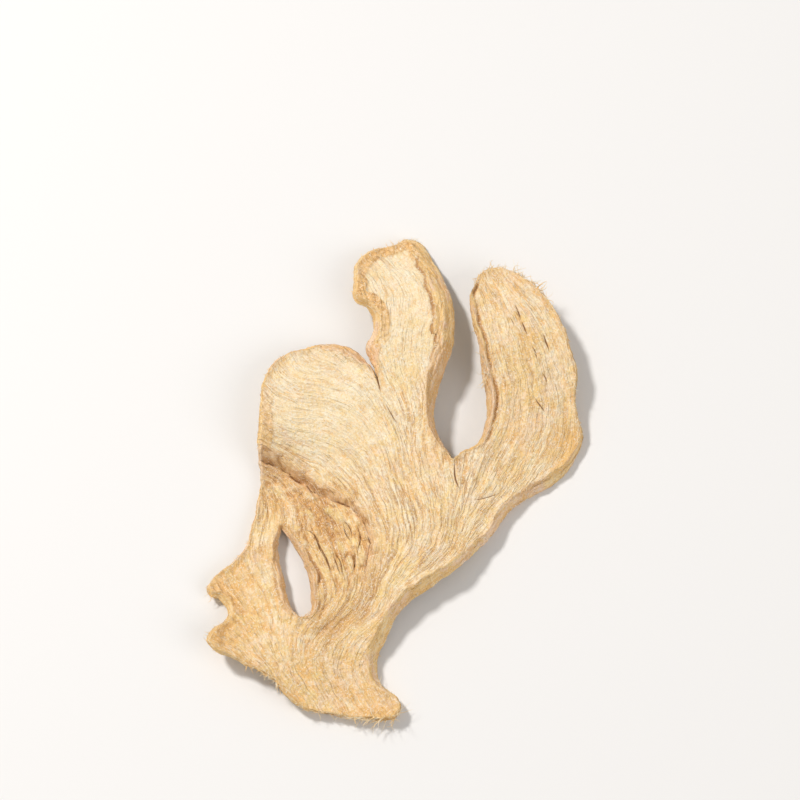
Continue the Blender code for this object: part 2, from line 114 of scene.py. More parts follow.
# Lines that the fibres follow, each from the foot upward. The key is the line's place across
# the foot, counted from its left end.
FIBRES = {
    0: ((-18.1, -47.2), (-24.9, -40.8), (-30, -36.3), (-34.1, -34.1)),
    4: ((-15.6, -47.5), (-22.2, -39.1), (-27.4, -29.9), (-31.5, -24), (-34.3, -21.4)),
    8: ((-13.4, -48.2), (-19.7, -39.1), (-22, -27.8), (-25.3, -16.6), (-24.8, -1.5)),
    11: ((-11.7, -48.3), (-17.8, -39), (-14.4, -28.4), (-15.6, -20.2), (-19.1, -13.5), (-24, -0.7)),
    14: ((-10, -48.5), (-15.8, -39), (-11.1, -28.5), (-10.4, -18.4), (-13.6, -9.1), (-22, 1.4)),
    17: ((-8.2, -48.9), (-14.1, -38.9), (-7.9, -28.6), (-4.9, -18.3), (-6.7, -9.6), (-17.6, 2.8),
        (-24.7, 5.9)),
    20: ((-6.5, -49.1), (-12.2, -38.9), (-4.8, -28.6), (-0.5, -18.4), (-1, -8.3), (-5.7, 1.7),
        (-13.7, 8.2), (-25.6, 12.7)),
    22.5: ((-5, -49.3), (-10.6, -38.9), (-3.1, -28.6), (2.2, -18.5), (2.6, -7.6), (-0.6, 3.6),
        (-7, 14.1), (-23, 21.8)),
    25: ((-3.6, -49.5), (-8.9, -38.8), (-1.1, -28.7), (4.9, -18.5), (6.5, -6.3), (4.6, 6.2),
        (1.4, 17.8), (-0.6, 29.1), (-5.9, 45.2)),
    27: ((-2.4, -49.5), (-7.7, -38.8), (0, -28.7), (7.7, -18), (10.1, -5.7), (7.3, 5),
        (8.2, 25.8), (2.2, 48.6)),
    29: ((-1.5, -49.5), (-6.3, -38.8), (1, -28.7), (10.8, -17.4), (14.8, -5.9), (21.2, 9.3),
        (21.5, 18.6), (17.5, 38.4)),
    32: ((0.3, -49.4), (-4.8, -38.8), (1.8, -28.7), (14, -17.2), (22.3, -5.5), (28, 4.5),
        (28.6, 24.7), (21.2, 40.7)),
    35: ((1.8, -48.2), (-3, -38.9), (2.6, -28.3), (17.9, -15.1), (36.5, 4.5), (37, 15.4),
        (30, 35.8), (24.4, 41.2)),
}
FIBRE_SLACK = 30

# The strongly ridged stretch: down the fibrous band beside the hole. Each size of noise is
# its width across the fibres and its length along them.
RIDGED = ((-21, -1.5), (-15.5, -8.5), (-11.5, -16), (-10, -24), (-11.5, -31))
RIDGE_REACH = 6.5
RIDGE_SIZE = (3.4, 13)
RIDGE_HEIGHT = 0.55
RIDGE_SEED = 14.4
FURROW_SIZE = (2.7, 15)
FURROW_HEIGHT = 0.42
FURROW_SEED = 24.4
UNDER_RELIEF = 0.5

# The smooth stretches of the face, as spots with a reach, and their share of the furrows.
CALM = ((-12, 13, 13), (-14, 20, 8), (3, 38, 11), (4, 26, 9))
CALM_SHARE = 0.4

# The cut edge: the wall that faces up and the wall that faces down share this width of skin.
SKIN_WIDTH = 2.3
LEAST_UNDER = 0.5
WALL_BULGE = 0.12
RIM_RISE = 0.3
RIM_WIDTH = 0.8
RIM_LENGTH = 5
RIM_SEED = 34.4
DISH_DEPTH = 0.45
DISH_WIDTH = 3.5
SWELL = 0.5
SWELL_LENGTH = 11
SWELL_SEED = 4.4
LEAST_HEIGHT = 0.25
SLOPE_STEP = 0.05
LEAST_SLOPE = 0.12
TINY = 1e-9
DRIFT = 50

# Rules for the mesh pattern, as shares of the spacing, of the depth or of the wall.
PAST_RIM = 0.6
OWN_EDGE = 0.92
SAME_WALL = 0.1
CLEARANCE = 0.5
CHAIN_REACH = 2
KEEP_INSIDE = 1

# Each kind of noise lies in its own layer, counted from the seed.
SEED = 4.4
RIM_LOOP_SEED = 11
HOLE_LOOP_SEED = 31
LAYER = SimpleNamespace(
    upper=100, lower=300, wall=9, pits=7, relief=20, cord=80, crumb=110, clod=120,
    ply=130, wiggle=150, roll=160, foot_shade=170, collar=180, skin=200,
)

# Spacing of the mesh points: along the edge, on the upper face and on the lower face.
EDGE_SPACING = 0.3
UPPER_SPACING = 0.28
LOWER_SPACING = 0.5
CURVE_STEPS = 40
EDGE_ROWS = (0.17, 0.33, 0.5, 0.67, 0.83, 1)
LEAST_ROW = 0.06

# The ragged edge: how far it strays, and how long its waves are.
RAGGED = ((0.3, 4.5), (0.2, 1.7), (0.12, 0.7))
HOLE_RUN = 1000
WALL_STRAY = 0.35
WALL_STRAY_LENGTH = 3

# Fine relief of the cut faces: height, width across the fibres, length along them.
FACE_BORDER = 0.3
FIBRE_RELIEF = ((0.23, 1.6, 12), (0.16, 0.8, 7), (0.1, 0.5, 3))
CALM_LOSS = 0.75
MEALY_LOSS = 0.4
# Painted shade in the valleys of the relief: the depth that counts as fully low, and the range of the
# value.
VALLEY_SHADE_DEPTH = 0.25
VALLEY_SHADE_RANGE = (-1, 1.5)
CORD_HEIGHT = 0.5
CORD_SHADE_WIDTH = 0.11
CORD_SIZE = (1.9, 14)
PIT_HEIGHT = 0.12
PIT_LENGTH = 1.5
PITS_FINER = 2.3
MEALY_PITS = 0.5
SKIN_FOLDS = ((0.45, 1.6, 11), (0.26, 0.8, 5.5))
SKIN_START = 4
SKIN_END = 5
FOLD_SHADE_WIDTH = 0.15
WALL_HEIGHT = 1.8

# The wall beside the flap: its folds, the band they fill, and the painted shadow line at its foot,
# where the flap overhangs the band.
STEP_FOLD = 0.42
STEP_FOLD_SIZE = (1, 3.2)
BAND_MIDDLE = 0.4
BAND_SPREAD = 0.6
BAND_MARGIN = 0.5
FOOT_SHADE_SHARE = 0.6
FOOT_SHADE_STRAY = 1.4
FOOT_SHADE_LENGTH = 2
FOOT_SHADE_WIDTH = 0.17
FOOT_SHADE_STRENGTH = 0.4

# Scorched collars, crumbs, clods and rolled rims, and how the streaks wander.
COLLAR_HEIGHT = 0.38
COLLAR_WIDTH = 2
COLLAR_STRAY = 0.6
COLLAR_LENGTH = 2.1
COLLAR_BORDER = 0.35
CRUMB_HEIGHT = 0.36
CRUMB_LENGTH = 0.9
CLOD_HEIGHT = 0.62
CLOD_SIZE = (1.7, 3.6)
ROLL_HEIGHT = 0.7
ROLL_GROOVE = 0.7
ROLL_OFFSET = 0.35
ROLL_WIDTH = 0.32
ROLL_SHARE = 0.9
ROLL_LENGTH = 2.6
WIGGLE = 0.34
WIGGLE_LENGTH = 2.8

# Slits and cracks where the flesh has parted: points with their depth, and the width. The depth also
# sets the painted shade in them.
GROOVES = (
    (((19.6, 38, 0), (20.8, 36.6, 0.3), (21.4, 35.4, 0.1), (22.8, 33.6, 0)), 0.12),
    (((24.6, 35, 0), (25.6, 32.4, 0.5), (26.1, 30.8, 0.15), (26.6, 29.6, 0.5), (27.4, 27.4, 0)),
     0.14),
    (((27.8, 26.4, 0), (28.9, 24.2, 0.4), (29.2, 22.9, 0.2), (30.2, 20.9, 0)), 0.14),
    (((30.4, 28.6, 0), (31, 26.6, 0.55), (31.5, 25.2, 0.3), (31.7, 23.8, 0)), 0.14),
    (((29.9, 20.6, 0), (30.9, 19.2, 0.4), (31.2, 17.8, 0.1), (32.3, 15.8, 0)), 0.12),
    (((28.4, 15.5, 0), (29.7, 13.8, 0.5), (31, 12.1, 0)), 0.12),
    (((23.5, 32.1, 0), (24.3, 30.6, 0.3), (25, 29.2, 0)), 0.12),
    (((15.2, -6.2, 0), (18.7, -5.3, 0.35), (22.5, -3.6, 0)), 0.12),
    (((12.5, 1.8, 0.2), (12.8, -2, 0.5), (14, -4.7, 0)), 0.14),
    (((-3.4, 20.4, 0.3), (-2.8, 18.9, 0.6), (-2, 15.7, 0.1)), 0.14),
    (((-1.7, 14.8, 0), (0.2, 11.1, 0.35), (1.9, 8.1, 0)), 0.14),
    (((-17.9, -10.4, 0), (-14.9, -12.6, 0.5), (-14.1, -14.9, 0.7), (-12.5, -18.2, 0.6),
      (-11.6, -21, 0)), 0.17),
    (((-11.5, -16.4, 0), (-10.6, -19, 0.45), (-9.6, -21.9, 0)), 0.14),
    (((-7.2, -15.2, 0), (-7, -18.4, 0.4), (-7.6, -21.6, 0)), 0.14),
    (((-6.9, -10.2, 0), (-6, -13.4, 0.4), (-6.6, -17, 0.2), (-6.4, -20.6, 0)), 0.14),
    (((-9.6, -9.4, 0), (-8.8, -12.6, 0.45), (-7.4, -14.9, 0)), 0.15),
    (((-11.4, -15.6, 0), (-9.8, -18.8, 0.4), (-9.4, -22.6, 0)), 0.15),
    (((-10, -9, 0), (-8, -11.6, 0.4), (-7.6, -14.4, 0)), 0.14),
)
GROOVE_SPACING = 0.16
GROOVE_LIPS = 1.7

# Where the looks change, as spots with a reach and, if it is less than 1, a share: golden
# flesh, pinkish skin, scorched rims, crumbly, mealy and ochre flesh, and rolled rims.
GOLDEN_SPOTS = (
    (-12, -13, 9), (-21, -3, 6), (-8, -22, 8, 0.8), (27, 30, 14, 0.45), (29, 8, 13, 0.45),
    (34.5, 7, 4.5), (27.5, 27, 3, 0.9), (-27, -26, 12), (-12, -42, 14), (8, -12, 12, 0.25),
    (5, 14, 7, 0.2),
)
PINKISH_SPOTS = (
    (11, 21, 5), (9, 12, 6), (18.5, 15, 8), (-16, -21, 7), (-22.5, -18, 7), (24, -7, 9),
    (-22, 3, 6), (-12, -4, 6), (-9, 27, 7),
)
SCORCHED_SPOTS = (
    (-6, 36, 8), (-4, 48, 7), (5, 51, 5), (18, 41, 6, 0.35), (-34, -24, 5, 0.7), (-35, -34, 5, 0.7),
    (-26, 8, 7, 0.6), (-3, -49, 6, 0.5),
)
CRUMBLY_SPOTS = (
    (-14, -9, 7), (-8.5, -16, 6), (-20, -2, 5), (-9, -22, 4, 0.6), (12, 3, 4, 0.6),
    (-30, -30, 5, 0.5),
)
MEALY_SPOTS = (
    (-27, -28, 12), (-12, -42, 12), (-2, -42, 8), (-22, -36, 9), (29, 14, 10, 0.9),
    (26, 28, 13, 0.9), (4, 30, 9, 0.7), (3, 40, 9, 0.7),
)
OCHRE_SPOTS = (
    (35.5, 6.8, 4), (33, 3, 3, 0.7), (27.7, 28.4, 2.2, 0.9), (27.2, 23.8, 1.7, 0.8),
    (24.8, 9.2, 2.2, 0.6), (-10.2, -29, 3.5, 0.5), (-31.5, -35, 4, 0.6), (-8.6, -43.7, 3, 0.5),
    (-3, -47, 4, 0.6), (4.4, 19.6, 1.4, 0.35), (21, 3, 3, 0.4), (-29, -24, 4, 0.4),
)
ROLLED_SPOTS = (
    (-15.5, -22, 6.5), (18.6, 14, 8), (16.8, 27, 8), (15.8, 36, 5), (9.5, 44, 5), (12, 35, 6),
    (11.5, 24, 5, 0.6),
)

# Fibres that lie on the faces. More are tried than are kept, as some would end off the face.
LYING_COUNT = 2600
LYING_STEPS = 7
LYING_LENGTH = (1.6, 7)
LYING_RADIUS = (0.025, 0.065)
LYING_STRAY = 9
LYING_THINNED = 0.75
LYING_TRIES = 4
START_CLEARANCE = 0.4
LYING_CLEARANCE = 0.1
LYING_TAPER = (0.04, 0.92)
LYING_LIFT = 0.5
END_SINK = 0.6

# Hairs at the frayed edges: x, y, reach, hairs, longest, and the thickness where it isn't 1.
FRAY = (
    (24, 42, 4.5, 44, 3.8), (28, 40.5, 3.5, 26, 3.4, 1.8), (30, 38, 4, 26, 3), (17, 41, 3, 14, 2.2),
    (18.2, 20.5, 2.4, 34, 2.8, 1.2), (-3, -49.5, 5, 54, 3.4), (-5, -50, 3, 14, 2.8, 2.2),
    (-14, -48, 5, 26, 2.2), (-22.5, -41.5, 1.6, 14, 2.2, 1.8), (-24, -41, 5, 20, 2.2),
    (-35, -33, 3.5, 18, 1.8), (-35, -23.5, 3, 16, 1.8), (-7, 36, 4, 22, 1.6), (0, 51, 5, 30, 1.8),
    (10, 44, 4, 16, 1.6), (36, 12, 4, 16, 1.6), (-16.5, -29.5, 2, 20, 1.4), (-2, -40, 4, 14, 1.6),
)
FUZZ_COUNT = 420
FUZZ_LENGTH = 0.9
HAIR_STEPS = 6
HAIR_RADIUS = 0.075
HAIR = SimpleNamespace(
    shares=(0.25, 0.75), fuzz_shares=(0.3, 0.7), skew=1.5, lean=(0.3, 1.6), out=(0.1, 0.8),
    rise=(0.15, 0.35), curl=0.28, kink=0.1, floor=0.12, widths=(0.6, 1.3), taper=0.75,
)
DRAW_SEED = 7


def link(name, data):
    """A new object with this data, in the scene."""
    made = bpy.data.objects.new(name, data)
    bpy.context.scene.collection.objects.link(made)
    return made


def way_along(path):
    """How far along the path each of its points lies."""
    return np.append(0, np.cumsum(np.linalg.norm(np.diff(path[:, :2], axis=0), axis=1)))


def smooth_curve(points, closed, spacing, creases=()):
    """Evenly spaced points along a smooth curve through these, as rows of x, y and value."""
    curve = bpy.data.curves.new("guide", "CURVE")
    curve.dimensions = "3D"
    spline = curve.splines.new("BEZIER")
    spline.use_cyclic_u = closed
    spline.resolution_u = CURVE_STEPS
    spline.bezier_points.add(len(points) - 1)
    for knot, point in zip(spline.bezier_points, points):
        knot.co = point
        handle = "VECTOR" if point in creases else "AUTO"
        knot.handle_left_type = knot.handle_right_type = handle
    guide = link("guide", curve)
    bpy.context.view_layer.update()
    path = np.array([vertex.co for vertex in guide.to_mesh().vertices])
    guide.to_mesh_clear()
    bpy.data.objects.remove(guide)
    bpy.data.curves.remove(curve)
    if closed:
        path = np.vstack([path, path[:1]])
    along = way_along(path)
    count = round(along[-1] / spacing)
    stops = np.linspace(0, along[-1], count + 1)[:count + (not closed)]
    return np.stack([np.interp(stops, along, column) for column in path.T], axis=1)


def thin_plate(spots, values, slack=0):
    """A function of x and y: the smoothest sheet that has these values at these spots."""
    spots = np.array(spots)

    def bend(points):
        gaps = (points[:, :1] - spots[:, 0]) ** 2 + (points[:, 1:] - spots[:, 1]) ** 2
        return gaps * np.log(gaps + TINY)

    size = len(spots)
    system = np.zeros((size + 3, size + 3))
    system[:size, :size] = bend(spots) + slack * np.eye(size)
    system[:size, size] = system[size, :size] = 1
    system[:size, size + 1:] = spots
    system[size + 1:, :size] = spots.T
    weights = np.linalg.solve(system, np.append(values, np.zeros(3)))

    def height(points):
        return bend(points) @ weights[:size] + weights[size] + points @ weights[size + 1:]

    return height


def nearest(path, points):
    """For each point, the number of the nearest place on the path, and how far off it is."""
    tree = kdtree.KDTree(len(path))
    for number, place in enumerate(path):
        tree.insert((place[0], place[1], 0), number)
    tree.balance()
    found = [tree.find((x, y, 0)) for x, y in points]
    return np.array([row[1] for row in found]), np.array([row[2] for row in found])


def inside(loop, points):
    """Whether each point lies inside the closed loop."""
    start = loop[:, :2]
    end = np.roll(start, -1, axis=0)
    rise = np.where(end[:, 1] == start[:, 1], 1, end[:, 1] - start[:, 1])
    lean = (end[:, 0] - start[:, 0]) / rise
    found = []
    for part in np.array_split(points, max(1, len(points) // 2000)):
        x, y = part[:, :1], part[:, 1:]
        spans = (start[:, 1] > y) != (end[:, 1] > y)
        crossing = start[:, 0] + (y - start[:, 1]) * lean
        found.append((spans & (x < crossing)).sum(axis=1) % 2 == 1)
    return np.concatenate(found)


def sideways(path, closed):
    """Unit steps to the right of a path's heading, seen from above."""
    if closed:
        ahead = np.roll(path[:, :2], -1, axis=0) - np.roll(path[:, :2], 1, axis=0)
    else:
        ahead = np.gradient(path[:, :2], axis=0)
    right = np.stack([ahead[:, 1], -ahead[:, 0]], axis=1)
    return right / np.linalg.norm(right, axis=1)[:, None]


def rumple(across, along, seed):
    """Seeded noise between -1 and 1 at each place."""
    layer = np.broadcast_to(seed, np.shape(across))
    return np.array([noise.noise(place) for place in zip(across, along, layer)])


def blotches(points, length, seed):
    """Seeded noise over the flat pattern, in blotches of about this length."""
    return rumple(points[:, 0] / length, points[:, 1] / length, seed)


def waves(run, length, seed):
    """Seeded noise along a line, in waves of about this length."""
    return rumple(run / length, run / DRIFT, seed)


def crests(wave):
    """The noise as round crests up to 1, with sharp valleys down to -1 between them."""
    return 2 * np.sqrt(np.abs(wave)) - 1


def bell(off, width):
    """1 where this is 0, fading over this width to both sides."""
    return np.exp(-(off / width) ** 2)


def fibre_places(points):
    """Each point's place across the fibres and along them, and the slope of the first."""
    spots, across, along = [], [], []
    for place, line in FIBRES.items():
        spots += line
        across += [place] * len(line)
        along += [*way_along(np.array(line))]
    sheet = thin_plate(spots, across, FIBRE_SLACK)
    here = sheet(points)
    slopes = [(sheet(points + step) - here) / SLOPE_STEP for step in SLOPE_STEP * np.eye(2)]
    return here, thin_plate(spots, along, FIBRE_SLACK)(points), np.stack(slopes, axis=1)


def strands(fibres, wide, long, seed):
    """Noise drawn out along the fibres, of nearly the same width wherever they spread."""
    across, along, slopes = fibres
    tight = np.maximum(np.linalg.norm(slopes, axis=1), LEAST_SLOPE)
    level = -np.log2(tight * wide)
    whole = np.floor(level)
    coarse = rumple(across * 2 ** whole, along / long, seed + whole)
    fine = rumple(across * 2 ** (whole + 1), along / long, seed + whole + 1)
    return coarse + (level - whole) * (fine - coarse)


def near_spots(points, spots):
    """1 near any of these spots, fading to 0 past its reach."""
    found = np.zeros(len(points))
    for x, y, reach, *amount in spots:
        gap = np.hypot(points[:, 0] - x, points[:, 1] - y) / reach
        found = np.maximum(found, np.prod(amount) * np.exp(-gap ** 4))
    return found


def step_path(spacing):
    """The torn line along the top of the wall beside the flap, with the way along it."""
    path = smooth_curve(STEP, False, spacing)
    run = way_along(path)
    stray = sum(height * waves(run, length, STEP_SEED) for height, length in STEP_WAVES)
    return np.column_stack([path[:, :2] + sideways(path, False) * stray[:, None], path[:, 2], run])


def flap_step(points):
    """The drop beside the flap, its lip, the groove at its foot, and the way down its wall."""
    path = step_path(EDGE_SPACING)
    number, gap = nearest(path, points)
    beyond = ((points - path[number, :2]) * sideways(path, False)[number]).sum(axis=1)
    beyond = np.where(beyond > 0, gap, -gap)
    height = path[number, 2]
    width = STEP_LEAN * height + LEAST_STEP
    down = np.clip(beyond / width, 0, 1)
    return SimpleNamespace(
        drop=height * down * bell(gap, STEP_REACH),
        lip=LIP_RISE * height * bell(beyond + LIP_WIDTH, LIP_WIDTH),
        foot=FOOT_DEPTH * height * bell(beyond - width, FOOT_WIDTH),
        height=height, width=width, beyond=beyond, run=path[number, 3],
    )


def form(points, wall, gap):
    """Heights of both surfaces at each point, and what they were worked out from."""
    warp = np.array(WARP)
    step = flap_step(points)
    swell = blotches(points, SWELL_LENGTH, SWELL_SEED)
    middle = thin_plate(warp[:, :2], warp[:, 2])(points) + SWELL * swell - STEP_BEND * step.drop
    thick = thin_plate(warp[:, :2], warp[:, 3])(points) - (1 - STEP_BEND) * step.drop
    fibres = fibre_places(points)
    spine = smooth_curve([(*spot, 0) for spot in RIDGED], False, EDGE_SPACING)
    ridged = bell(nearest(spine, points)[1], RIDGE_REACH)
    ridge = crests(strands(fibres, *RIDGE_SIZE, RIDGE_SEED))
    calm = near_spots(points, CALM)
    furrow = strands(fibres, *FURROW_SIZE, FURROW_SEED) * (1 - (1 - CALM_SHARE) * calm)
    relief = RIDGE_HEIGHT * ridge * ridged + FURROW_HEIGHT * furrow + step.lip - step.foot
    under = np.maximum(SKIN_WIDTH - wall, LEAST_UNDER)
    seam = under / (wall + under) - 0.5
    rise = np.clip(gap / wall, 0, 1)
    fall = np.clip(gap / under, 0, 1)
    climb = rise + WALL_BULGE * np.sin(np.pi * rise)
    descent = fall + WALL_BULGE * np.sin(np.pi * fall)
    uneven = 1 + blotches(points, RIM_LENGTH, RIM_SEED)
    rim = RIM_RISE * uneven * bell(gap - wall, RIM_WIDTH)
    dish = DISH_DEPTH * np.exp(-np.maximum(gap - wall, 0) / DISH_WIDTH)
    return SimpleNamespace(
        above=middle + thick * (seam + (0.5 - seam) * climb) + (rim + dish + relief) * rise,
        below=middle + thick * (seam - (0.5 + seam) * descent) + UNDER_RELIEF * relief * fall,
        under=under, rise=rise, fall=fall, fibres=fibres, ridged=ridged, calm=calm, step=step,
    )


def edge_rows(loop, inward, spacing):
    """Rows of points that follow an edge, across its skin and just past its rim."""
    rows = []
    depths = [share * loop[:, 2] for share in EDGE_ROWS]
    for depth in (*depths, loop[:, 2] + PAST_RIM * spacing):
        row = loop[:, :2] + inward * sideways(loop, True) * depth[:, None]
        number, gap = nearest(loop, row)
        same = np.abs(loop[number, 2] - loop[:, 2]) < SAME_WALL * loop[:, 2]
        rows.append(row[(gap > OWN_EDGE * depth) & (depth > LEAST_ROW) & same])
    return rows


def step_rows(spacing):
    """Points along the top and the foot of the wall beside the flap."""
    path = step_path(spacing)
    width = STEP_LEAN * path[:, 2] + LEAST_STEP
    right = sideways(path, False)
    return np.vstack([path[:, :2], path[:, :2] + right * width[:, None]])


def lattice(loop, spacing):
    """A triangular lattice of points over the box of the loop."""
    low, high = loop[:, :2].min(axis=0), loop[:, :2].max(axis=0)
    rows = np.arange(low[1], high[1], spacing * np.sqrt(0.75))
    columns = np.arange(low[0], high[0], spacing)
    x, y = np.meshgrid(columns, rows)
    x[1::2] += 0.5 * spacing
    return np.stack([x.ravel(), y.ravel()], axis=1)


def chain(row, first, spacing):
    """Pairs of neighbours in a row of points whose first point has this number."""
    gaps = np.linalg.norm(np.diff(row, axis=0), axis=1)
    starts = first + np.where(gaps < CHAIN_REACH * spacing)[0]
    return [(start, start + 1) for start in starts.tolist()]


def flat_pattern(rim, hole, spacing, guides):
    """The slice seen from above as points and triangles. The edge's points come first."""
    edge = np.vstack([rim, hole])
    rows = edge_rows(rim, -turning(rim), spacing) + edge_rows(hole, turning(hole), spacing)
    field = lattice(rim, spacing)
    field = field[nearest(np.vstack(guides), field)[1] > CLEARANCE * spacing]
    for points in (*guides, field):
        number, gap = nearest(edge, points)
        off_rim = np.abs(gap - edge[number, 2])
        clear = (gap > CLEARANCE * spacing) & (off_rim > CLEARANCE * spacing)
        rows.append(points[clear & inside(rim, points) & ~inside(hole, points)])
    loops = [list(range(len(rim))), list(range(len(rim), len(edge)))]
    sides = [(a, b) for loop in loops for a, b in zip(loop, loop[1:] + loop[:1])]
    first = len(edge)
    for row in rows[:-1]:
        sides += chain(row, first, spacing)
        first += len(row)
    places = [Vector(point) for point in np.vstack([edge[:, :2], *rows])]
    flat = geometry.delaunay_2d_cdt(places, sides, [], KEEP_INSIDE, TINY)
    points = np.array(flat[0])
    faces = np.array(flat[2])
    return points, faces[~inside(hole, points[faces].mean(axis=1))]


def turning(loop):
    """1 for a loop that runs anticlockwise seen from above, -1 for clockwise."""
    ahead = np.roll(loop[:, :2], -1, axis=0)
    return np.sign((loop[:, 0] * ahead[:, 1] - loop[:, 1] * ahead[:, 0]).sum())


def smooth(share):
    """0 below 0, 1 above 1, and an easy slope between."""
    share = np.clip(share, 0, 1)
    return share * share * (3 - 2 * share)


def groove_paths():
    """The slits and cracks as rows of points with depth and width."""
    paths = [(smooth_curve(line, False, GROOVE_SPACING), width) for line, width in GROOVES]
    return [np.column_stack([path, np.full(len(path), width)]) for path, width in paths]


def groove_rows():
    """Rows of points along each slit's floor and both of its lips."""
    rows = []
    for path in groove_paths():
        right = sideways(path, False) * (GROOVE_LIPS * path[:, 3])[:, None]
        rows += [path[:, :2] - right, path[:, :2], path[:, :2] + right]
    return rows


def groove_depth(points):
    """How deep each point lies in a slit or a crack."""
    path = np.vstack(groove_paths())
    number, gap = nearest(path, points)
    return np.maximum(path[number, 2], 0) * bell(gap, path[number, 3])


def ring_noise(run, length, seed):
    """Seeded noise along a closed edge that meets itself at the end."""
    circle = run[-1] / length / (2 * np.pi)
    turn = 2 * np.pi * run / run[-1]
    return rumple(circle * np.cos(turn), circle * np.sin(turn), seed)


def ragged(loop, seed):
    """The loop with the small bites and waves of a cut and dried edge, and the way along it."""
    run = EDGE_SPACING * np.arange(len(loop))
    stray = sum(
        height * ring_noise(run, length, seed + count)
        for count, (height, length) in enumerate(RAGGED)
    )
    wall = loop[:, 2] * (1 + WALL_STRAY * ring_noise(run, WALL_STRAY_LENGTH, seed + LAYER.wall))
    return np.column_stack([loop[:, :2] + sideways(loop, True) * stray[:, None], wall, run])


def edge_loops():
    """The ragged outer edge and the ragged edge of the hole."""
    rim = ragged(smooth_curve(EDGE, True, EDGE_SPACING, CREASES), RIM_LOOP_SEED)
    hole = ragged(smooth_curve(HOLE, True, EDGE_SPACING, CREASES), HOLE_LOOP_SEED)
    hole[:, 3] += HOLE_RUN
    return rim, hole


